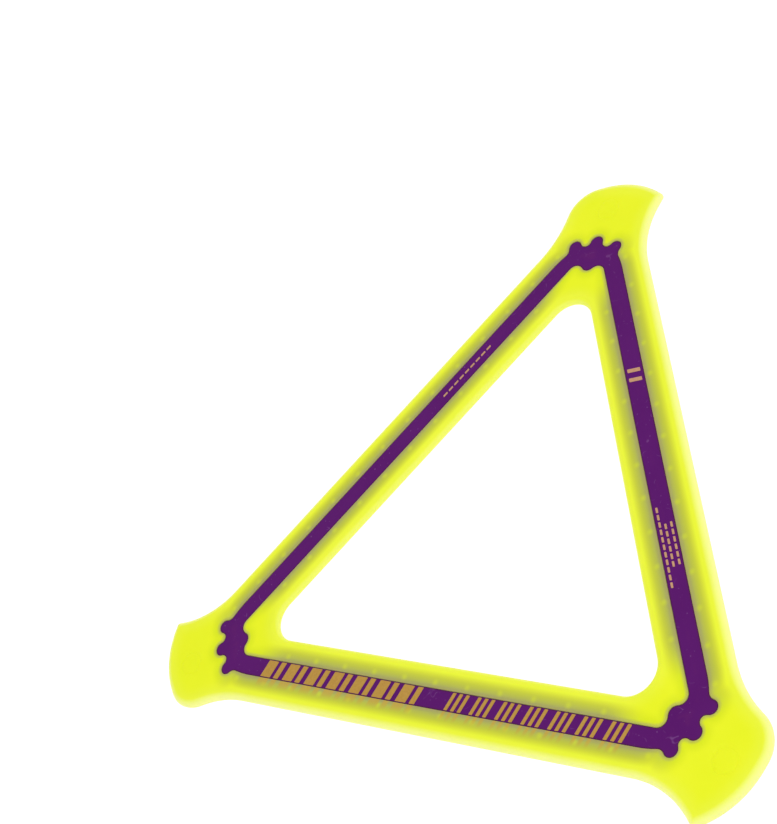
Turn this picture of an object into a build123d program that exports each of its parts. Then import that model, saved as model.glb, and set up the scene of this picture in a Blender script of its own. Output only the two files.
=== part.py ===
"""A soft-edged triangular boomerang: a stiff core moulded into two rubber edges.

Seen from above, three straight arms make an open triangle and each corner carries a
swept tip.  The middle of the triangle is the origin, z = 0 is the mid-plane, and one
corner points along +Y.  All sizes are in millimetres.
"""
from build123d import *
import math
import os

# ---- overall shape -------------------------------------------------------------------
CORNERS = 3
TURN = 360 / CORNERS
HOLE_EDGE = 57.2          # middle of the triangle to the arm's inner edge
STRIP_INNER = 67.0        # ... to the inner edge of the bare core strip
STRIP_OUTER = 75.0        # ... to the outer edge of the bare core strip
HOLE_CORNER_RADIUS = 10.4

# ---- cross-section -------------------------------------------------------------------
HALF_THICKNESS = 2.3      # flat top and bottom of the rubber
RIM_INSET = 3.0           # the rubber's edges curve over this width to the flat faces
RIM_LEAN = 80.0           # turn of that curve from the mid-plane up to the flat face
RIM_STEPS = 5             # outlines stacked from the mid-plane up to the flat face
STRIP_RECESS = 0.15       # the bare strip lies this far below the rubber
FLANGE_HALF = 0.8         # buried flange beside the strip
FLANGE_REACH = 5.0        # how far it runs into the rubber on each side
OUTER_FLANGE_LENGTH = 208.0
INNER_FLANGE_LENGTH = 172.0
FLANGE_CORNER = 2.0

# ---- rubber anchors through the flanges ----------------------------------------------
ANCHOR_RADIUS = 1.1
ANCHOR_FROM_STRIP = 2.3
ANCHOR_PITCH = 15.4
INNER_ANCHORS = 11
OUTER_ANCHORS = 14

# ---- ring left by the moulding pin on each tip, top and bottom -----------------------
MARK_PLACE = (-0.5, 148.9)
MARK_RADIUS = 5.2
MARK_WIDTH = 0.7
MARK_DEPTH = 0.12

# ---- foil print: slanted bars on one arm, and small marks on the other two ------------
FOIL_THICKNESS = 0.1
FOIL_MARGIN = 0.4         # bare strip left beside each bar
FOIL_SLANT = 15.0         # lean of the bars, in degrees
BAR_GROUPS = 7
GROUP_PITCH = 12.0
BOLD_START = -87.0        # first bar of the bold half, along the arm
BOLD_BARS = ((0.0, 5.2), (7.0, 2.6))            # start and width of each bar in a group
FINE_START = 9.0
FINE_BARS = ((0.0, 1.6), (3.2, 1.6), (6.4, 1.6))
DASH_HEIGHT = 0.9
DASH_LENGTH = 2.4
DASH_PITCH = 3.3
DASH_ROWS = ((-2.4, 6), (0.0, 6), (2.2, 11))    # place across the strip and dash count
DASH_MIDDLE = -39.5       # middle of the dash rows, along the arm
LONE_ROW = 9              # dashes in the single row on the third arm
PAIR_MIDDLE = 41.0        # middle of a pair of small bars, along the arm
PAIR_PITCH = 4.6
PAIR_BAR = (1.8, 5.4)     # width and height of each

# ---- plan outline of one corner, which points along +Y --------------------------------
# Corners of the straight-sided outline and the radius that rounds each one, clockwise.
TIP_OUTLINE = (
    ((-21.5, 134.1), 46.0),    # hollow between the arm and the rounded shoulder
    ((-20.3, 157.4), 15.0),    # rounded shoulder
    ((7.35, 164.8), 39.0),     # long crown of the tip
    ((23.4, 156.3), 1.6),      # the point
    ((18.8, 138.6), 38.0),     # hollow between the point and the next arm
)
SMALLEST_RADIUS = 0.2          # of the point, where the rim has used up its radius

# Right half of the core's knuckle: the end of each arc and its radius.  A positive
# radius bulges outwards along the corner, a negative one towards the open middle.
KNUCKLE_TOP = (0.0, 135.45)
FINGER_ARCS = (
    ((2.99, 132.73), 3.0),     # middle finger
    ((7.47, 131.70), -2.4),    # valley
    ((12.64, 129.11), 2.9),    # side finger
    ((13.14, 125.85), -3.2),   # neck
    ((17.65, 119.40), 44.0),   # easing into the strip's outer edge
)
KNUCKLE_BOTTOM = (0.0, 118.8)
BUMP_ARCS = (
    ((2.53, 119.92), -3.41),   # middle bump
    ((8.48, 119.30), 3.7),     # hollow beside it
)

STRIP_MIDDLE = (STRIP_INNER + STRIP_OUTER) / 2
STRIP_WIDTH = STRIP_OUTER - STRIP_INNER
RIB_HALF = HALF_THICKNESS - STRIP_RECESS
ARM_NORMALS = [-90 + TURN * index for index in range(CORNERS)]


def turned(point, degrees):
    """The plan point turned about the middle of the triangle."""
    angle = math.radians(degrees)
    x, y = point
    return (
        x * math.cos(angle) - y * math.sin(angle),
        x * math.sin(angle) + y * math.cos(angle),
    )


def arc_chain(start, arcs):
    """Draw one arc after another from the start point, and return where they end."""
    here = start
    for end, radius in arcs:
        RadiusArc(here, end, radius)
        here = end
    return here


def row_places(count):
    """Evenly pitched places along an arm, centred on its middle."""
    return [(index - (count - 1) / 2) * ANCHOR_PITCH for index in range(count)]


def outline_corners(inset):
    """Corners and radii of the whole outline after moving it inwards by the inset."""
    corners = []
    for index in range(CORNERS):
        for point, radius in TIP_OUTLINE:
            corners.append((Vector(*turned(point, -TURN * index)), radius))
    points = []
    radii = []
    for index, (here, radius) in enumerate(corners):
        before = corners[index - 1][0]
        after = corners[(index + 1) % len(corners)][0]
        arriving = (here - before).normalized()
        leaving = (after - here).normalized()
        inwards = Vector(arriving.Y + leaving.Y, -arriving.X - leaving.X)
        points.append(here + inwards * inset / (1 + arriving.dot(leaving)))
        bulges = arriving.cross(leaving).Z < 0
        radii.append(max(radius - inset, SMALLEST_RADIUS) if bulges else radius + inset)
    return points, radii


def silhouette(inset, height):
    """Face inside the boomerang's outline, moved inwards by the inset."""
    points, radii = outline_corners(inset)
    with BuildSketch(Plane.XY.offset(height)) as sketch:
        with BuildLine():
            FilletPolyline(*points, radius=radii, close=True)
        make_face()
    return sketch.sketch.face()


def opening(inset, height):
    """Face of the open middle, grown outwards by the inset."""
    with BuildSketch(Plane.XY.offset(height)) as sketch:
        RegularPolygon(
            radius=HOLE_EDGE + inset, side_count=CORNERS, major_radius=False, rotation=90
        )
        fillet(sketch.vertices(), radius=HOLE_CORNER_RADIUS + inset)
    return sketch.sketch.face()


# ---- shared plan sketches ------------------------------------------------------------
with BuildSketch() as knuckle:
    with BuildLine():
        outer_end = arc_chain(KNUCKLE_TOP, FINGER_ARCS)
        inner_end = arc_chain(KNUCKLE_BOTTOM, BUMP_ARCS)
        strip_end = Vector(*outer_end) - Vector(STRIP_WIDTH, 0).rotate(Axis.Z, TURN / 4)
        Polyline(outer_end, strip_end, inner_end)
        Line(KNUCKLE_BOTTOM, KNUCKLE_TOP)
    make_face()
    mirror(about=Plane.YZ)

straight_length = 2 * abs(turned(FINGER_ARCS[-1][0], TURN / 2)[0])
with BuildSketch() as bare_strip:
    with PolarLocations(0, CORNERS):
        add(knuckle.sketch)
    with PolarLocations(STRIP_MIDDLE, CORNERS, start_angle=ARM_NORMALS[0]):
        Rectangle(STRIP_WIDTH, straight_length)

with BuildSketch() as inside_strip:
    make_face(bare_strip.face().inner_wires()[0].edges())

with BuildSketch() as flanges:
    for reach_from, length in (
        (STRIP_OUTER, OUTER_FLANGE_LENGTH),
        (STRIP_INNER - FLANGE_REACH, INNER_FLANGE_LENGTH),
    ):
        with PolarLocations(reach_from + FLANGE_REACH / 2, CORNERS, start_angle=ARM_NORMALS[0]):
            RectangleRounded(FLANGE_REACH, length, FLANGE_CORNER)

with BuildSketch() as marks:
    with PolarLocations(0, CORNERS):
        with Locations(MARK_PLACE):
            Circle(MARK_RADIUS)
            Circle(MARK_RADIUS - MARK_WIDTH, mode=Mode.SUBTRACT)

os.makedirs("parts", exist_ok=True)

# ---- core: bare strip and knuckles, with anchored flanges along each arm --------------
with BuildPart() as core:
    with BuildSketch(Plane.XY.offset(-RIB_HALF)):
        add(bare_strip.sketch)
    extrude(amount=2 * RIB_HALF)
    with BuildSketch(Plane.XY.offset(-FLANGE_HALF)):
        add(flanges.sketch)
    extrude(amount=2 * FLANGE_HALF)
    with BuildSketch(Plane.XY.offset(-FLANGE_HALF)):
        for row_distance, count in (
            (STRIP_OUTER + ANCHOR_FROM_STRIP, OUTER_ANCHORS),
            (STRIP_INNER - ANCHOR_FROM_STRIP, INNER_ANCHORS),
        ):
            with PolarLocations(0, CORNERS, start_angle=ARM_NORMALS[0]):
                with Locations(*[(row_distance, place) for place in row_places(count)]):
                    Circle(ANCHOR_RADIUS)
    extrude(amount=2 * FLANGE_HALF, mode=Mode.SUBTRACT)
core.part.label = "core"
export_step(core.part, "parts/core.step")

# ---- envelope of both rubber edges: stacked outlines on an elliptical rim ------------
rim_levels = []
for step in range(-RIM_STEPS, RIM_STEPS + 1):
    lean = math.radians(RIM_LEAN * step / RIM_STEPS)
    full_lean = math.radians(RIM_LEAN)
    inset = RIM_INSET * (1 - math.cos(lean)) / (1 - math.cos(full_lean))
    height = HALF_THICKNESS * math.sin(lean) / math.sin(full_lean)
    rim_levels.append((inset, height))
solid_outline = loft([silhouette(inset, height) for inset, height in rim_levels], ruled=True)
solid_opening = loft([opening(inset, height) for inset, height in rim_levels], ruled=True)

# ---- outer rubber edge: everything outside the strip, with the three swept tips -------
with BuildPart() as outer_edge:
    add(solid_outline)
    with BuildSketch(Plane.XY.offset(-2 * HALF_THICKNESS)):
        add(bare_strip.sketch)
        add(inside_strip.sketch)
    extrude(amount=4 * HALF_THICKNESS, mode=Mode.SUBTRACT)
    add(core.part, mode=Mode.SUBTRACT)
    for face_height, depth in ((HALF_THICKNESS, -MARK_DEPTH), (-HALF_THICKNESS, MARK_DEPTH)):
        with BuildSketch(Plane.XY.offset(face_height)):
            add(marks.sketch)
        extrude(amount=depth, mode=Mode.SUBTRACT)
outer_edge.part.label = "outer_rubber_edge"
export_step(outer_edge.part, "parts/outer_rubber_edge.step")

# ---- inner rubber edge: between the strip and the open middle -------------------------
with BuildPart() as inner_edge:
    with BuildSketch(Plane.XY.offset(-HALF_THICKNESS)):
        add(inside_strip.sketch)
    extrude(amount=2 * HALF_THICKNESS)
    add(solid_opening, mode=Mode.SUBTRACT)
    add(core.part, mode=Mode.SUBTRACT)
inner_edge.part.label = "inner_rubber_edge"
export_step(inner_edge.part, "parts/inner_rubber_edge.step")

# ---- foil print on the bare strip -----------------------------------------------------
PRINT_PLANE = Plane.XY.offset(RIB_HALF)
BAR_HEIGHT = STRIP_WIDTH - 2 * FOIL_MARGIN


def slanted_bar(start, width, height=BAR_HEIGHT, middle=-STRIP_MIDDLE):
    """One slanted bar of the print on the arm that crosses -Y."""
    lean = height * math.tan(math.radians(FOIL_SLANT)) / 2
    low = middle - height / 2
    high = middle + height / 2
    Polygon(
        (start - lean, low),
        (start + width - lean, low),
        (start + width + lean, high),
        (start + lean, high),
        align=None,
    )


with BuildPart() as bar_print:
    with BuildSketch(PRINT_PLANE):
        for group_start, bars in ((BOLD_START, BOLD_BARS), (FINE_START, FINE_BARS)):
            for group in range(BAR_GROUPS):
                for start, width in bars:
                    slanted_bar(group_start + group * GROUP_PITCH + start, width)
    extrude(amount=FOIL_THICKNESS)
bar_print.part.label = "foil_bar_print"
export_step(bar_print.part, "parts/foil_bar_print.step")

with BuildPart() as mark_print:
    right_arm = PRINT_PLANE.rotated((0, 0, TURN))
    left_arm = PRINT_PLANE.rotated((0, 0, -TURN))
    with BuildSketch(right_arm):
        for row, count in DASH_ROWS:
            for index in range(count):
                place = DASH_MIDDLE + (index - (count - 1) / 2) * DASH_PITCH
                slanted_bar(place - DASH_LENGTH / 2, DASH_LENGTH, DASH_HEIGHT, row - STRIP_MIDDLE)
        for side in (-1, 1):
            width, height = PAIR_BAR
            place = PAIR_MIDDLE + side * PAIR_PITCH / 2
            slanted_bar(place - width / 2, width, height)
    with BuildSketch(left_arm):
        for index in range(LONE_ROW):
            place = DASH_MIDDLE + (index - (LONE_ROW - 1) / 2) * DASH_PITCH
            slanted_bar(place - DASH_LENGTH / 2, DASH_LENGTH, DASH_HEIGHT)
    extrude(amount=FOIL_THICKNESS)
mark_print.part.label = "foil_mark_print"
export_step(mark_print.part, "parts/foil_mark_print.step")
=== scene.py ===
"""Looks of the triangular boomerang: translucent rubber edges, a satin core and a foil print.

Plan sizes are in millimetres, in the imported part's own frame: the middle of the triangle
is the origin, z = 0 is the mid-plane, and one corner points along +Y.
"""

import math

import bmesh
import bpy
import numpy as np
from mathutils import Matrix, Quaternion, Vector, geometry, kdtree


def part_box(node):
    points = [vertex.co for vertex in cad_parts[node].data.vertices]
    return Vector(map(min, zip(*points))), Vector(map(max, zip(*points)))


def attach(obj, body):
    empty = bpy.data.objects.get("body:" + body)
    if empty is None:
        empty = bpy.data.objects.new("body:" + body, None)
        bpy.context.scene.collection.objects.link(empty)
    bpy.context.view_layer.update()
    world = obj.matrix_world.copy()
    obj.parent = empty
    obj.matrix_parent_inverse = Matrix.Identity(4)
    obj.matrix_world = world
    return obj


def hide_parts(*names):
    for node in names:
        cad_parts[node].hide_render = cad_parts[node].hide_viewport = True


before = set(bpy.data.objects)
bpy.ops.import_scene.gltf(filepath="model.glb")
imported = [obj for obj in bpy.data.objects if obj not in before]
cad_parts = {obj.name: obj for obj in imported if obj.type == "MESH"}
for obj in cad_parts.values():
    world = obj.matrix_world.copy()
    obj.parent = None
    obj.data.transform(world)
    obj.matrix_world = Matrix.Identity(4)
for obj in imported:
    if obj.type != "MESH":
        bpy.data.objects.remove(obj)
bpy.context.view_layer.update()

# ---- sizes, in millimetres -----------------------------------------------------------
MM = 0.001
CORNERS = 3
TURN = 2 * math.pi / CORNERS
HOLE_EDGE = 57.2            # middle of the triangle to the arm's inner edge
STRIP_INNER = 67.0          # ... to the inner edge of the bare core strip
STRIP_OUTER = 75.0          # ... to the outer edge of the bare core strip
HOLE_CORNER_RADIUS = 10.4
HALF_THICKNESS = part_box("outer_rubber_edge")[1].z / MM
RIB_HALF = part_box("core")[1].z / MM
RIM_INSET = 3.0             # the rim curves over this width to the flat faces
RIM_LEAN = math.radians(80)
FLANGE_HALF = 0.8
FLANGE_REACH = 5.0
FLANGE_CORNER = 2.0
FLANGE_OVERLAP = 0.5        # the flange's root inside the rib
OUTER_FLANGE_LENGTH = 208.0
INNER_FLANGE_LENGTH = 172.0
ANCHOR_RADIUS = 1.1
ANCHOR_FROM_STRIP = 2.3
ANCHOR_PITCH = 15.4
INNER_ANCHORS = 11
OUTER_ANCHORS = 14
MARK_PLACE = (-0.5, 148.9)  # ring left by the moulding pin on each tip
MARK_RADIUS = 5.2
MARK_WIDTH = 0.7
MARK_DEPTH = 0.12
LIP_RADIUS = 0.3            # rounding where rubber and core meet at the surface
SEAM = 0.02                 # gap between the rubber and the core
FLOOR_GAP = 0.05            # how far below the rubber the floor lies

# The foil bars on one arm: where each half starts along the arm, and the start and
# width of each bar in one repeat of its pattern.
BAR_SLANT = math.radians(15)
BAR_REPEATS = 7
BAR_PITCH = 12.0
BOLD_START = -87.0
BOLD_BARS = ((0.0, 5.2), (7.0, 2.6))
FINE_START = 9.0
FINE_BARS = ((0.0, 1.6), (3.2, 1.6), (6.4, 1.6))
BAR_RUN_FULL = 1.0          # how far the bars run on under the rubber at their strongest
BAR_RUN_ON = 4.5            # ... and until they are gone
BAR_BLUR = 0.5              # how soft they look there
BAR_CORNER = 0.25

# Corners of one tip's straight-sided outline and their rounding radii, clockwise.
TIP_OUTLINE = (
    ((-21.5, 134.1), 46.0),
    ((-20.3, 157.4), 15.0),
    ((7.35, 164.8), 39.0),
    ((23.4, 156.3), 1.6),
    ((18.8, 138.6), 38.0),
)
# Right half of the core's knuckle: the end of each arc and its radius, positive where
# the arc bulges outwards along the corner.
KNUCKLE_TOP = (0.0, 135.45)
FINGER_ARCS = (
    ((2.99, 132.73), 3.0),
    ((7.47, 131.70), -2.4),
    ((12.64, 129.11), 2.9),
    ((13.14, 125.85), -3.2),
    ((17.65, 119.40), 44.0),
)
KNUCKLE_BOTTOM = (0.0, 118.8)
BUMP_ARCS = (
    ((2.53, 119.92), -3.41),
    ((8.48, 119.30), 3.7),
)

# ---- mesh density, in millimetres ----------------------------------------------------
LOOP_SPACING = 0.8          # between points along the outlines
FILL_SPACING = 1.5          # between points inside a flat face
RIM_STATIONS = (0.0, 0.06, 0.22, 0.5, 0.85, 1.3, 1.8, 2.4, RIM_INSET)
LIP_STATIONS = (0.0, 0.04, 0.12, LIP_RADIUS)
FLANGE_STATIONS = (0.0, 0.1)
HOLE_SPACING = 0.5          # between points round an anchor hole
ARC_STEP = 0.05             # between points along an arc, before they are spaced again
CORNER_SEGMENTS = 3         # across the rounded corners of a foil bar
PLAN_TOLERANCE = 0.02       # an offset point nearer to its line than it should be goes
SAME_POINT = 1e-5
WELD = 0.001                # points of a CAD mesh nearer than this are one point
UPRIGHT_RISE = 0.01         # a foil bar's edge that rises more than this is upright
FLAT_ANGLE = 0.01           # radians between faces that count as one flat face


# ---- plan curves ---------------------------------------------------------------------
def turned(points, angle):
    """Plan points turned about the middle of the triangle."""
    cos, sin = math.cos(angle), math.sin(angle)
    return np.asarray(points, float) @ np.array([[cos, sin], [-sin, cos]])


def arc_points(start, end, radius):
    """Points along an arc from start to end; a positive radius bulges to the left."""
    start, end = np.array(start), np.array(end)
    chord = end - start
    half = np.linalg.norm(chord) / 2
    left = np.array([-chord[1], chord[0]]) / (2 * half)
    side = math.copysign(1, radius)
    centre = (start + end) / 2 - left * side * math.sqrt(radius**2 - half**2)
    sweep = -side * 2 * math.asin(half / abs(radius))
    count = max(2, math.ceil(abs(sweep * radius) / ARC_STEP))
    return [turned(start - centre, sweep * step / count) + centre for step in range(count)]


def arc_chain(start, arcs):
    """Points along one arc after another, with the last end point."""
    points = []
    for end, radius in arcs:
        points += arc_points(start, end, radius)
        start = end
    return np.array(points + [np.array(start)])


def rounded(corners):
    """Closed line through straight-sided corners, each rounded by its own radius."""
    places = np.array([place for place, _ in corners])
    arriving = places - np.roll(places, 1, axis=0)
    arriving /= np.linalg.norm(arriving, axis=1)[:, None]
    points = []
    for index, (place, radius) in enumerate(corners):
        came = arriving[index]
        goes = arriving[(index + 1) % len(corners)]
        cross = came[0] * goes[1] - came[1] * goes[0]
        reach = radius * math.tan(math.acos(came @ goes) / 2)
        points += arc_points(place - came * reach, place + goes * reach, -math.copysign(radius, cross))
        points.append(place + goes * reach)
    return np.array(points)


def around(corner_points):
    """One corner's points repeated clockwise around the triangle."""
    return np.vstack([turned(corner_points, -TURN * index) for index in range(CORNERS)])


def respaced(points):
    """The closed line's points again, evenly spaced."""
    closed = np.vstack([points, points[:1]])
    run = np.concatenate([[0], np.cumsum(np.linalg.norm(np.diff(closed, axis=0), axis=1))])
    places = np.linspace(0, run[-1], round(run[-1] / LOOP_SPACING), endpoint=False)
    return np.column_stack([np.interp(places, run, closed[:, axis]) for axis in (0, 1)])


def circle(middle, radius, spacing):
    """Clockwise points round a circle."""
    count = round(2 * math.pi * radius / spacing)
    angles = -np.arange(count) * 2 * math.pi / count
    return np.array(middle) + radius * np.column_stack([np.cos(angles), np.sin(angles)])


def both_halves(right_half):
    """A corner's points from its left end to its right end, from the right half."""
    left_half = right_half[:0:-1] * (-1, 1)
    return np.vstack([left_half, right_half])


def offset_loop(loop, distance):
    """Points moved to the right of a clockwise loop, without those that came too near it."""
    ahead = np.roll(loop, -1, axis=0) - np.roll(loop, 1, axis=0)
    ahead /= np.linalg.norm(ahead, axis=1)[:, None]
    moved = loop + np.column_stack([ahead[:, 1], -ahead[:, 0]]) * distance
    return moved[distance_to(moved, loop) > abs(distance) - PLAN_TOLERANCE]


def distance_to(points, loop):
    """Distance from each point to the closed, finely spaced loop."""
    tree = kdtree.KDTree(len(loop))
    for index, (x, y) in enumerate(loop):
        tree.insert((x, y, 0), index)
    tree.balance()
    nearest = np.array([tree.find((x, y, 0))[1] for x, y in points], int)
    gaps = []
    for first in (nearest - 1, nearest):
        start = loop[first]
        side = loop[(first + 1) % len(loop)] - start
        share = np.einsum("ij,ij->i", points - start, side) / np.einsum("ij,ij->i", side, side)
        gap = points - start - np.clip(share, 0, 1)[:, None] * side
        gaps.append(np.linalg.norm(gap, axis=1))
    return np.minimum(*gaps)


def inside(points, loops):
    """True for each point that lies in the area between the loops."""
    crossings = np.zeros(len(points), int)
    for loop in loops:
        for (x0, y0), (x1, y1) in zip(loop, np.roll(loop, -1, axis=0)):
            if y0 == y1:
                continue
            spans = (points[:, 1] < y0) != (points[:, 1] < y1)
            reach = x0 + (points[:, 1] - y0) / (y1 - y0) * (x1 - x0)
            crossings += spans & (points[:, 0] < reach)
    return crossings % 2 == 1


def fill_points(loops):
    """Staggered points over the area between the loops."""
    reach = max(np.abs(loop).max() for loop in loops)
    rows = np.arange(-reach, reach, FILL_SPACING * math.sqrt(3) / 2)
    columns = np.arange(-reach, reach, FILL_SPACING)
    grid = [
        np.column_stack([columns + FILL_SPACING / 2 * (index % 2), np.full(len(columns), row)])
        for index, row in enumerate(rows)
    ]
    points = np.vstack(grid)
    return points[inside(points, loops)]


# ---- closed lines, all clockwise -----------------------------------------------------
tip_corners = [
    (turned(place, -TURN * index), radius)
    for index in range(CORNERS)
    for place, radius in TIP_OUTLINE
]
hole_corner = (0.0, 2 * HOLE_EDGE)
hole_corners = [(turned(hole_corner, -TURN * index), HOLE_CORNER_RADIUS) for index in range(CORNERS)]
outline = respaced(rounded(tip_corners))
opening = respaced(rounded(hole_corners))
strip_outside = respaced(around(both_halves(arc_chain(KNUCKLE_TOP, FINGER_ARCS))))
strip_inside = respaced(around(both_halves(arc_chain(KNUCKLE_BOTTOM, BUMP_ARCS))))


# ---- cross-sections ------------------------------------------------------------------
def rim_height(gap):
    """Height of the rubber's top face at a distance from its free edge."""
    share = np.minimum(gap, RIM_INSET) / RIM_INSET
    lean = np.arccos(1 - share * (1 - math.cos(RIM_LEAN)))
    return HALF_THICKNESS * np.sin(lean) / math.sin(RIM_LEAN)


def lip_drop(gap, radius=LIP_RADIUS):
    """How far a rounded edge has dropped at a distance from the wall."""
    short = radius - np.minimum(gap, radius)
    return radius - np.sqrt(radius**2 - short**2)


def ring_drop(points):
    """Depth of the moulding pins' rings."""
    depth = np.zeros(len(points))
    for index in range(CORNERS):
        gap = np.linalg.norm(points - turned(MARK_PLACE, TURN * index), axis=1)
        across = (gap - MARK_RADIUS + MARK_WIDTH / 2) / (MARK_WIDTH / 2)
        depth += MARK_DEPTH * np.clip(1 - across**2, 0, None)
    return depth


# ---- solids with matching top and bottom faces ---------------------------------------
def slab(edges, height_at, extra_lines=()):
    """Vertices and faces of a closed solid that fills the plan area between edges.

    Each edge is a closed line, the side of it that the solid is on (1 is right) and the
    distances at which lines of points follow it.  The extra lines only add points.  Where
    the height is 0 at an edge, the top and bottom faces meet there, and elsewhere a wall
    joins them.
    """
    loops = [line for line, _, _ in edges]
    points = []
    joins = []
    for line, side, stations in edges:
        first = len(points)
        points.extend(line)
        joins += [(first + index, first + (index + 1) % len(line)) for index in range(len(line))]
        for station in stations[1:]:
            points.extend(offset_loop(line, side * station))
    fill = fill_points(loops)
    for line, _, stations in edges:
        fill = fill[distance_to(fill, line) > stations[-1] + FILL_SPACING / 2]
    for line in extra_lines:
        points.extend(line)
        fill = fill[distance_to(fill, line) > FILL_SPACING / 2]
    points.extend(fill)
    plan, _, triangles, *_ = geometry.delaunay_2d_cdt(
        [Vector(point) for point in points], joins, [], 0, SAME_POINT
    )
    plan = np.array([place[:] for place in plan])
    triangles = np.array([triangle[:] for triangle in triangles])
    triangles = triangles[inside(plan[triangles].mean(axis=1), loops)]
    used, triangles = np.unique(triangles, return_inverse=True)
    triangles = triangles.reshape(-1, 3)
    plan = plan[used]
    height = height_at(plan)
    parted = height > SAME_POINT
    below = np.arange(len(plan))
    below[parted] = len(plan) + np.arange(parted.sum())
    top = np.column_stack([plan, height])
    vertices = np.vstack([top, top[parted] * (1, 1, -1)])
    faces = triangles.tolist() + below[triangles[:, ::-1]].tolist()
    sides = {(a, b) for triangle in triangles for a, b in zip(triangle, np.roll(triangle, -1))}
    for a, b in sorted(sides):
        if (b, a) not in sides and parted[a] and parted[b]:
            faces.append([b, a, below[a], below[b]])
    return vertices, faces


def add_piece(name, mesh, material, replaced):
    """A piece that rides on the only body and stands for a CAD node."""
    mesh.materials.append(material)
    piece = bpy.data.objects.new(name, mesh)
    bpy.context.scene.collection.objects.link(piece)
    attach(piece, "root")
    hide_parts(replaced)
    return piece


def slab_piece(name, slabs, material, replaced, gap_lines):
    """A smooth piece from one or more slabs.

    gap_lines has the closed lines for each attribute name: each vertex keeps its distance
    to the nearest of them.
    """
    vertices = np.vstack([slab_vertices for slab_vertices, _ in slabs])
    faces = []
    first = 0
    for slab_vertices, slab_faces in slabs:
        faces += [[first + int(index) for index in face] for face in slab_faces]
        first += len(slab_vertices)
    mesh = bpy.data.meshes.new(name)
    mesh.from_pydata((vertices * MM).tolist(), [], faces)
    mesh.shade_smooth()
    for attribute, lines in gap_lines.items():
        values = mesh.attributes.new(attribute, "FLOAT", "POINT")
        nearest = np.min([distance_to(vertices[:, :2], line) for line in lines], axis=0)
        values.data.foreach_set("value", nearest)
    piece = add_piece(name, mesh, material, replaced)
    piece.modifiers.new("flat_faces_stay_flat", "WEIGHTED_NORMAL")


# ---- materials -----------------------------------------------------------------------
def colour(red, green, blue):
    """A display colour, 0 to 255, as the linear colour that shaders use."""
    shares = [value / 255 for value in (red, green, blue)]
    linear = [
        share / 12.92 if share <= 0.04045 else ((share + 0.055) / 1.055) ** 2.4
        for share in shares
    ]
    return (*linear, 1.0)


WHITE = (1.0, 1.0, 1.0, 1.0)


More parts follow.
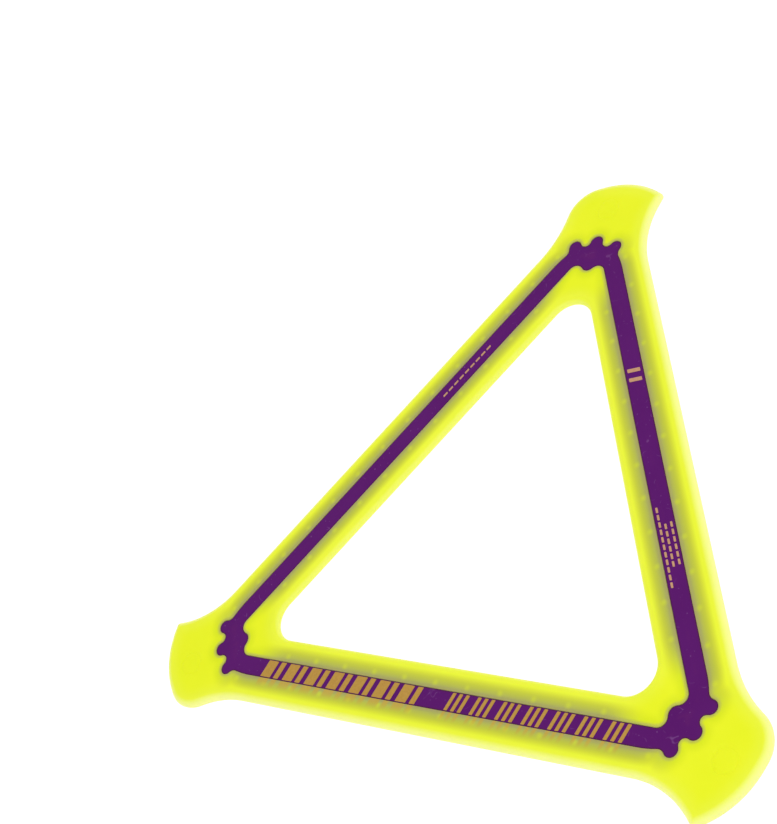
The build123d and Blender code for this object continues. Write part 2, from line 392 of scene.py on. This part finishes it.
class Paint:
    """A material with one Principled surface, and short calls for the nodes it needs."""

    def __init__(self, name):
        self.material = bpy.data.materials.new(name)
        self.material.use_nodes = True
        self.tree = self.material.node_tree
        self.surface = self.tree.nodes["Principled BSDF"]
        coordinates = self.node("ShaderNodeTexCoord").outputs["Object"]
        scaled = self.node("ShaderNodeVectorMath", {0: coordinates, "Scale": 1 / MM}, operation="SCALE")
        self.place = scaled.outputs[0]

    def feed(self, socket, value):
        """Link a socket to another, or set it to a constant."""
        if isinstance(value, bpy.types.NodeSocket):
            self.tree.links.new(value, socket)
        else:
            socket.default_value = value

    def node(self, kind, inputs=None, **settings):
        """A new node with these settings and these inputs."""
        node = self.tree.nodes.new(kind)
        for setting, value in settings.items():
            setattr(node, setting, value)
        for name, value in (inputs or {}).items():
            self.feed(node.inputs[name], value)
        return node

    def finish(self, **inputs):
        """Feed the Principled surface, and return the material."""
        for name, value in inputs.items():
            self.feed(self.surface.inputs[name.replace("_", " ")], value)
        return self.material

    def calc(self, operation, first, second=0.0):
        """One calculation with numbers."""
        return self.node("ShaderNodeMath", {0: first, 1: second}, operation=operation).outputs[0]

    def step(self, value, low, high):
        """A soft step from 0 at low to 1 at high."""
        inputs = {"Value": value, "From Min": low, "From Max": high}
        return self.node("ShaderNodeMapRange", inputs, interpolation_type="SMOOTHSTEP").outputs[0]

    def band(self, value, start, width, blur):
        """1 from start over the width, with soft ends."""
        rise = self.step(value, start - blur, start + blur)
        fall = self.step(value, start + width + blur, start + width - blur)
        return self.calc("MULTIPLY", rise, fall)

    def mix(self, share, first, second):
        """A blend of two colours."""
        inputs = {0: share, 6: first, 7: second}
        return self.node("ShaderNodeMix", inputs, data_type="RGBA").outputs[2]

    def near(self, gap, reach, strength):
        """The strength where the gap is 0, fading to 0 at the reach."""
        return self.calc("MULTIPLY", self.step(gap, reach, 0.0), strength)

    def between(self, share, low, high):
        """A number that goes from low to high as the share goes from 0 to 1."""
        return self.calc("ADD", self.calc("MULTIPLY", share, high - low), low)

    def noise(self, scale, detail=2.0, place=None):
        """Noise with about scale features in each millimetre."""
        inputs = {"Vector": place or self.place, "Scale": scale, "Detail": detail}
        return self.node("ShaderNodeTexNoise", inputs).outputs["Fac"]

    def attribute(self, name):
        """A number kept on the mesh."""
        return self.node("ShaderNodeAttribute", attribute_name=name).outputs["Fac"]

    def ramp(self, value, low, high, colours):
        """Evenly spaced colours between two values."""
        share = self.node("ShaderNodeMapRange", {"Value": value, "From Min": low, "From Max": high})
        ramp = self.node("ShaderNodeValToRGB", {"Fac": share.outputs[0]})
        stops = ramp.color_ramp.elements
        while len(stops) < len(colours):
            stops.new(0.5)
        for index, stop_colour in enumerate(colours):
            stops[index].position = index / (len(colours) - 1)
            stops[index].color = stop_colour
        return ramp.outputs["Color"]

    def bump(self, height, distance, normal=None):
        """A bump of a height field that is distance millimetres deep."""
        inputs = {"Height": height, "Distance": distance * MM}
        if normal is not None:
            inputs["Normal"] = normal
        return self.node("ShaderNodeBump", inputs).outputs["Normal"]

    def arm_places(self):
        """(along, out, arm): the place on the nearest arm, and the number of that arm.

        along runs anticlockwise round the triangle from the arm's middle, out is the
        distance from the triangle's middle, and arm 0 crosses -Y.
        """
        parts = self.node("ShaderNodeSeparateXYZ", {0: self.place})
        angle = self.calc("ARCTAN2", parts.outputs["Y"], parts.outputs["X"])
        arm = self.calc("ROUND", self.calc("DIVIDE", self.calc("ADD", angle, math.pi / 2), TURN))
        folded = self.node(
            "ShaderNodeVectorRotate",
            {"Vector": self.place, "Angle": self.calc("MULTIPLY", arm, -TURN)},
            rotation_type="Z_AXIS",
        )
        folded_parts = self.node("ShaderNodeSeparateXYZ", {0: folded.outputs[0]})
        out = self.calc("MULTIPLY", folded_parts.outputs["Y"], -1.0)
        return folded_parts.outputs["X"], out, arm


# ---- rubber --------------------------------------------------------------------------
BODY_DEEP = colour(225, 236, 18)
BODY_LIGHT = colour(234, 241, 40)
# Painted light: the pale free edge stands in for light through the thin rubber and reflection of the
# white room.
PAINTED_RIM_LIGHT = colour(254, 255, 205)
NEAR_KNUCKLE = colour(205, 220, 18)
BESIDE_CORE = colour(166, 160, 96)
FOIL_HAZE = colour(196, 160, 60)
OVER_FLANGE = (             # from the strip outwards
    colour(158, 154, 104),
    colour(166, 168, 92),
    colour(177, 182, 80),
    colour(185, 191, 66),
    colour(193, 200, 54),
    colour(206, 213, 44),
    colour(219, 228, 34),
    colour(228, 239, 30),
)
SHADE_REACH = FLANGE_REACH + 2.0    # how far from the strip the buried flange still shows
SHADE_FULL = SHADE_REACH - 1.0      # the flange's shade is whole up to here
SHADE_GONE = SHADE_REACH + 0.5      # ... and gone from here
FLANGE_FADE = 10.0                  # softness of the flange's ends, seen through the rubber
ANCHOR_BLUR = 0.9
HAZE_STRENGTH = 0.7                 # of the bars under the rubber
LIGHT_VEIL_REACH = 3 * RIM_INSET          # reach of the faint painted light inside the painted rim light
OUTER_RIM_LIGHT = (3.6, 0.5)              # width and strength of the painted rim light
INNER_RIM_LIGHT = (2.2, 0.22)


def bars_under_rubber(paint, along, out, arm):
    """1 where the slanted bars run on from the strip, softly, under the outer rubber."""
    strip_middle = (STRIP_INNER + STRIP_OUTER) / 2
    lean = paint.calc("MULTIPLY", paint.calc("SUBTRACT", out, strip_middle), math.tan(BAR_SLANT))
    place = paint.calc("ADD", along, lean)
    shown = 0.0
    for first, bars in ((BOLD_START, BOLD_BARS), (FINE_START, FINE_BARS)):
        run = paint.calc("SUBTRACT", place, first)
        beat = paint.calc("FLOORED_MODULO", run, BAR_PITCH)
        half = paint.band(run, 0.0, BAR_REPEATS * BAR_PITCH, BAR_BLUR)
        for start, width in bars:
            bar = paint.band(beat, start, width, BAR_BLUR)
            shown = paint.calc("MAXIMUM", shown, paint.calc("MULTIPLY", bar, half))
    fade = paint.step(out, STRIP_OUTER + BAR_RUN_ON, STRIP_OUTER + BAR_RUN_FULL)
    on_arm = paint.calc("COMPARE", arm, 0.0)
    height = paint.node("ShaderNodeSeparateXYZ", {0: paint.place}).outputs["Z"]
    on_top = paint.calc("GREATER_THAN", height, 0.0)
    for mask in (fade, on_arm, on_top):
        shown = paint.calc("MULTIPLY", shown, mask)
    return shown


def rubber(name, flange_length, anchor_row, anchor_shift, rim, with_bars):
    """Translucent rubber, darker over the core's flanges, with painted light paling its free edge."""
    paint = Paint(name)
    rim_gap = paint.attribute("rim_gap")
    core_gap = paint.attribute("core_gap")
    along, out, arm = paint.arm_places()

    flange_colour = paint.ramp(core_gap, 0.0, SHADE_REACH, OVER_FLANGE)
    across = paint.step(core_gap, SHADE_GONE, SHADE_FULL)
    end = flange_length / 2
    lengthways = paint.step(paint.calc("ABSOLUTE", along), end + FLANGE_FADE, end - FLANGE_FADE)
    beat = paint.calc("SUBTRACT", along, anchor_shift)
    beats = paint.calc("ROUND", paint.calc("DIVIDE", beat, ANCHOR_PITCH))
    from_anchor = paint.calc("SUBTRACT", beat, paint.calc("MULTIPLY", beats, ANCHOR_PITCH))
    from_row = paint.calc("SUBTRACT", out, anchor_row)
    squares = paint.calc("MULTIPLY", from_anchor, from_anchor)
    squares = paint.calc("ADD", squares, paint.calc("MULTIPLY", from_row, from_row))
    anchor_gap = paint.calc("SQRT", squares)
    anchor = paint.near(anchor_gap, ANCHOR_RADIUS + ANCHOR_BLUR, strength=0.36)
    flange = paint.calc("MULTIPLY", across, lengthways)
    flange = paint.calc("MULTIPLY", flange, paint.calc("SUBTRACT", 1.0, anchor))

    base = paint.mix(paint.noise(scale=0.05, detail=3.0), BODY_DEEP, BODY_LIGHT)
    base = paint.mix(paint.near(core_gap, reach=6.0, strength=0.7), base, NEAR_KNUCKLE)
    base = paint.mix(flange, base, flange_colour)
    base = paint.mix(paint.near(core_gap, reach=1.9, strength=0.75), base, BESIDE_CORE)
    if with_bars:
        bars = bars_under_rubber(paint, along, out, arm)
        haze = paint.calc("MULTIPLY", bars, HAZE_STRENGTH)
        base = paint.mix(haze, base, FOIL_HAZE)
    # Painted light: the free edge, and faintly the band inside it, is paled for light through the thin
    # rubber and reflection of the white room.
    light_veil = paint.near(rim_gap, LIGHT_VEIL_REACH, strength=0.06)
    base = paint.mix(paint.calc("MAXIMUM", paint.near(rim_gap, *rim), light_veil), base, PAINTED_RIM_LIGHT)

    waves = paint.bump(paint.noise(scale=0.06, detail=1.0), 0.4)
    return paint.finish(
        Base_Color=base,
        Roughness=paint.between(paint.noise(scale=0.12, detail=4.0), 0.38, 0.58),
        Normal=paint.bump(paint.noise(scale=2.5, detail=3.0), 0.02, waves),
        Specular_IOR_Level=0.12,
        Subsurface_Weight=0.35,
        Subsurface_Radius=(1.0, 0.9, 0.15),
        Subsurface_Scale=2.0 * MM,
    )


# ---- core and foil -------------------------------------------------------------------
PURPLE = colour(80, 2, 96)
PURPLE_LIGHT = colour(89, 14, 106)
# Painted shade: the darker line where the strip meets the rubber.
PURPLE_EDGE_SHADE = colour(78, 18, 70)
PURPLE_SCUFF = colour(122, 72, 136)
PURPLE_BLUSH = colour(104, 30, 96)


def core_plastic():
    """Satin moulded plastic with faint flow marks, fine scratches and painted shade along the strip's
    edges.
    """
    paint = Paint("core_plastic")
    edge_gap = paint.attribute("edge_gap")
    base = paint.mix(paint.noise(scale=0.04, detail=3.0), PURPLE, PURPLE_LIGHT)
    patches = paint.step(paint.noise(scale=0.25, detail=3.0), 0.42, 0.62)
    blush = paint.calc("MULTIPLY", paint.step(edge_gap, 2.5, 5.5), patches)
    base = paint.mix(paint.calc("MULTIPLY", blush, 0.2), base, PURPLE_BLUSH)

    # A scratch follows the line where one noise crosses its middle, where another is high.
    level = paint.calc("SUBTRACT", paint.noise(scale=0.12, detail=1.0), 0.5)
    line = paint.step(paint.calc("ABSOLUTE", level), 0.006, 0.001)
    sparse = paint.step(paint.noise(scale=0.3, detail=1.0), 0.56, 0.66)
    specks = paint.step(paint.noise(scale=0.9, detail=0.0), 0.79, 0.83)
    scuff = paint.calc("MAXIMUM", paint.calc("MULTIPLY", line, sparse), specks)
    scuff = paint.calc("MULTIPLY", scuff, 0.6)
    base = paint.mix(scuff, base, PURPLE_SCUFF)
    # Painted shade darkens the strip's edges, where it meets the rubber.
    base = paint.mix(paint.near(edge_gap, reach=0.9, strength=0.8), base, PURPLE_EDGE_SHADE)

    along, out, _ = paint.arm_places()
    streaks = paint.node("ShaderNodeCombineXYZ", {"X": paint.calc("MULTIPLY", along, 0.08), "Y": out})
    grain = paint.noise(3.0, 2.0, streaks.outputs[0])
    scuffed = paint.calc("MULTIPLY", scuff, 0.3)
    return paint.finish(
        Base_Color=base,
        Roughness=paint.calc("ADD", paint.between(grain, 0.3, 0.55), scuffed),
        Normal=paint.bump(grain, 0.01),
        Specular_IOR_Level=0.1,
    )


def foil(name, light, dark):
    """Stamped metallic foil, a little broken up."""
    paint = Paint(name)
    return paint.finish(
        Base_Color=paint.mix(paint.noise(scale=1.2, detail=3.0), light, dark),
        Metallic=0.3,
        Roughness=paint.between(paint.noise(scale=3.0), 0.35, 0.65),
        Normal=paint.bump(paint.noise(scale=5.0), 0.008),
    )


# ---- the two rubber edges ------------------------------------------------------------
mark_lines = []
for index in range(CORNERS):
    for share in (0.0, 0.25, 0.5, 0.75, 1.0):
        radius = MARK_RADIUS - share * MARK_WIDTH
        mark_lines.append(circle(turned(MARK_PLACE, TURN * index), radius, LOOP_SPACING / 2))

outer_wall = offset_loop(strip_outside, -SEAM)
inner_wall = offset_loop(strip_inside, SEAM)


def outer_height(points):
    """Top face of the outer rubber edge."""
    flat = rim_height(distance_to(points, outline)) - lip_drop(distance_to(points, outer_wall))
    return flat - ring_drop(points)


def inner_height(points):
    """Top face of the inner rubber edge."""
    return rim_height(distance_to(points, opening)) - lip_drop(distance_to(points, inner_wall))


outer_slab = slab(
    [(outline, 1, RIM_STATIONS), (outer_wall, -1, LIP_STATIONS)], outer_height, mark_lines
)
outer_paint = rubber(
    "outer_rubber",
    flange_length=OUTER_FLANGE_LENGTH,
    anchor_row=STRIP_OUTER + ANCHOR_FROM_STRIP,
    anchor_shift=ANCHOR_PITCH / 2,
    rim=OUTER_RIM_LIGHT,
    with_bars=True,
)
outer_gaps = {"rim_gap": [outline], "core_gap": [strip_outside]}
slab_piece(
    "outer_rubber", [outer_slab], outer_paint, "outer_rubber_edge", outer_gaps
)

inner_slab = slab([(inner_wall, 1, LIP_STATIONS), (opening, -1, RIM_STATIONS)], inner_height)
inner_paint = rubber(
    "inner_rubber",
    flange_length=INNER_FLANGE_LENGTH,
    anchor_row=STRIP_INNER - ANCHOR_FROM_STRIP,
    anchor_shift=0.0,
    rim=INNER_RIM_LIGHT,
    with_bars=False,
)
inner_gaps = {"rim_gap": [opening], "core_gap": [strip_inside]}
slab_piece(
    "inner_rubber", [inner_slab], inner_paint, "inner_rubber_edge", inner_gaps
)


# ---- the core ------------------------------------------------------------------------
def rib_height(points):
    """Top face of the bare strip and its knuckles."""
    outside_gap = distance_to(points, strip_outside)
    inside_gap = distance_to(points, strip_inside)
    return RIB_HALF - lip_drop(np.minimum(outside_gap, inside_gap))


def flange(angle, near, length, anchor_row, anchors):
    """One flange with its anchor holes, on the arm turned by an angle from -Y."""
    far = near + FLANGE_REACH + FLANGE_OVERLAP
    half = length / 2
    places = ((-half, -near), (half, -near), (half, -far), (-half, -far))
    line = respaced(rounded([(turned(place, angle), FLANGE_CORNER) for place in places]))
    edges = [(line, 1, FLANGE_STATIONS)]
    for number in range(anchors):
        along = (number - (anchors - 1) / 2) * ANCHOR_PITCH
        hole = circle(turned((along, -anchor_row), angle), ANCHOR_RADIUS, HOLE_SPACING)
        edges.append((hole, -1, FLANGE_STATIONS))

    def height(points):
        """Flat, with the edges and hole rims broken."""
        gap = np.min([distance_to(points, edge_line) for edge_line, _, _ in edges], axis=0)
        return FLANGE_HALF - lip_drop(gap, FLANGE_STATIONS[-1])

    return slab(edges, height)


core_slabs = [slab([(strip_outside, 1, LIP_STATIONS), (strip_inside, -1, LIP_STATIONS)], rib_height)]
for index in range(CORNERS):
    angle = TURN * index
    outer_near = STRIP_OUTER - FLANGE_OVERLAP
    outer_row = STRIP_OUTER + ANCHOR_FROM_STRIP
    core_slabs.append(flange(angle, outer_near, OUTER_FLANGE_LENGTH, outer_row, OUTER_ANCHORS))
    inner_near = STRIP_INNER - FLANGE_REACH
    inner_row = STRIP_INNER - ANCHOR_FROM_STRIP
    core_slabs.append(flange(angle, inner_near, INNER_FLANGE_LENGTH, inner_row, INNER_ANCHORS))
core_gaps = {"edge_gap": [strip_outside, strip_inside]}
slab_piece("core_plate", core_slabs, core_plastic(), "core", core_gaps)


# ---- the foil print ------------------------------------------------------------------
def foil_piece(name, node_name, light, dark):
    """A foil node's own shapes with rounded corners."""
    shape = bmesh.new()
    shape.from_mesh(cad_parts[node_name].data)
    bmesh.ops.remove_doubles(shape, verts=shape.verts, dist=WELD * MM)
    bmesh.ops.dissolve_limit(
        shape, angle_limit=FLAT_ANGLE, verts=shape.verts, edges=shape.edges
    )
    upright = [
        edge
        for edge in shape.edges
        if abs(edge.verts[0].co.z - edge.verts[1].co.z) > UPRIGHT_RISE * MM
    ]
    bmesh.ops.bevel(
        shape,
        geom=upright,
        offset=BAR_CORNER * MM,
        segments=CORNER_SEGMENTS,
        profile=0.5,
        affect="EDGES",
    )
    mesh = bpy.data.meshes.new(name)
    shape.to_mesh(mesh)
    shape.free()
    add_piece(name, mesh, foil(name, light, dark), node_name)


foil_piece("foil_bars", "foil_bar_print", colour(195, 151, 62), colour(167, 124, 38))
foil_piece("foil_marks", "foil_mark_print", colour(206, 160, 120), colour(178, 128, 90))

# ---- floor, light and camera ---------------------------------------------------------
FLOOR_HALF = 20.0           # metres
FLOOR_GREY = colour(120, 120, 120)
FLOOR_GLOW = 1.05           # a grey floor that glows looks white and throws back little yellow
ROOM_GLOW = 0.75
floor_level = -(HALF_THICKNESS + FLOOR_GAP) * MM
floor_corners = [
    (x * FLOOR_HALF, y * FLOOR_HALF, floor_level) for x, y in ((-1, -1), (1, -1), (1, 1), (-1, 1))
]
floor_mesh = bpy.data.meshes.new("floor")
floor_mesh.from_pydata(floor_corners, [], [(0, 1, 2, 3)])
floor = bpy.data.objects.new("floor", floor_mesh)
bpy.context.scene.collection.objects.link(floor)
floor_paint = Paint("floor")
# The floor shows from above only, so that a view from below shows the underside.
seen_from_below = floor_paint.node("ShaderNodeNewGeometry").outputs["Backfacing"]
floor_mesh.materials.append(
    floor_paint.finish(
        Base_Color=FLOOR_GREY,
        Roughness=0.9,
        Specular_IOR_Level=0.0,
        Emission_Color=WHITE,
        Emission_Strength=FLOOR_GLOW,
        Alpha=floor_paint.calc("SUBTRACT", 1.0, seen_from_below),
    )
)
# Sampled as a lamp, so near a floor would leave a seam of light on the underside.
floor_paint.material.cycles.emission_sampling = "NONE"

world = bpy.data.worlds.new("studio")
world.use_nodes = True
backdrop = world.node_tree.nodes["Background"]
backdrop.inputs["Color"].default_value = WHITE
backdrop.inputs["Strength"].default_value = ROOM_GLOW
bpy.context.scene.world = world


def softbox(name, place, size, power):
    """A square area light aimed at the middle of the boomerang."""
    data = bpy.data.lights.new(name, "AREA")
    data.size = size
    data.energy = power
    light = bpy.data.objects.new(name, data)
    light.location = place
    light.rotation_mode = "QUATERNION"
    light.rotation_quaternion = (-Vector(place)).to_track_quat("-Z", "Y")
    bpy.context.scene.collection.objects.link(light)


softbox("overhead", place=(0.1, 0.15, 1.6), size=1.6, power=7.4)
softbox("side", place=(0.65, -0.25, 0.95), size=0.5, power=1.6)

CAMERA_AIM = Vector((-0.0775, 0.0497, 0.0))
CAMERA_DISTANCE = 0.8273
CAMERA_AZIMUTH = math.radians(62.52)
CAMERA_ELEVATION = math.radians(42.50)
CAMERA_ROLL = math.radians(-49.08)
camera_data = bpy.data.cameras.new("camera")
camera_data.lens = 85.0
camera_data.sensor_width = 36.0
camera = bpy.data.objects.new("camera", camera_data)
bpy.context.scene.collection.objects.link(camera)
back = Vector((
    math.sin(CAMERA_AZIMUTH) * math.cos(CAMERA_ELEVATION),
    -math.cos(CAMERA_AZIMUTH) * math.cos(CAMERA_ELEVATION),
    math.sin(CAMERA_ELEVATION),
))
camera.location = CAMERA_AIM + back * CAMERA_DISTANCE
camera.rotation_mode = "QUATERNION"
level = (-back).to_track_quat("-Z", "Y")
camera.rotation_quaternion = level @ Quaternion((0, 0, 1), CAMERA_ROLL)
bpy.context.scene.camera = camera
bpy.context.scene.view_settings.view_transform = "Standard"
